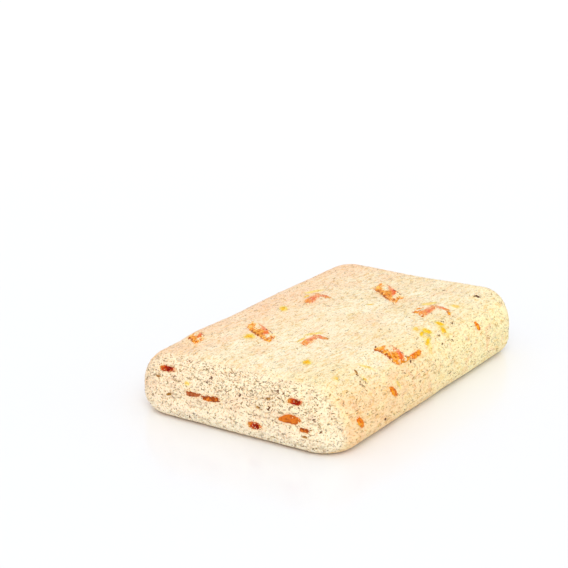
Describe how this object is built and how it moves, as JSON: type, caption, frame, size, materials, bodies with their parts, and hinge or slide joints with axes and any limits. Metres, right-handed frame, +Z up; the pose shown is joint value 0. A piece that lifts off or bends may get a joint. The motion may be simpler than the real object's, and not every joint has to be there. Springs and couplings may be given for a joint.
{
  "type": "sunflower halva",
  "caption": "Rounded rectangular bar of sunflower halva, a crumbly fibrous sweet, with diced dried apricot set flush in its top, sides and cut ends.",
  "frame": {"origin": "middle of the flat underside", "axes": "+Z up, +X along the bar to its far end, -X towards the rough near end, -Y towards the long side that the picture shows"},
  "size_m": [0.1103, 0.0694, 0.0202],
  "materials": {
    "halva": "dry, fibrous and crumbly cream halva with fine dark husk specks",
    "apricot": "moist, translucent orange dried apricot"
  },
  "bodies": {
    "root": {"halva": "halva", "apricot_top_1": "apricot", "apricot_top_2": "apricot", "apricot_top_3": "apricot", "apricot_top_4": "apricot", "apricot_top_5": "apricot", "apricot_top_6": "apricot", "apricot_top_7": "apricot", "apricot_top_8": "apricot", "apricot_right_1": "apricot", "apricot_right_2": "apricot", "apricot_right_3": "apricot", "apricot_near_1": "apricot", "apricot_near_2": "apricot", "apricot_near_3": "apricot", "apricot_near_4": "apricot", "apricot_near_5": "apricot", "apricot_near_6": "apricot", "apricot_near_7": "apricot", "apricot_far_1": "apricot", "apricot_far_2": "apricot", "apricot_far_3": "apricot", "apricot_far_4": "apricot", "apricot_far_5": "apricot", "apricot_left_1": "apricot", "apricot_left_2": "apricot", "apricot_left_3": "apricot", "apricot_under_1": "apricot", "apricot_under_2": "apricot", "apricot_under_3": "apricot"}
  },
  "joints": []
}
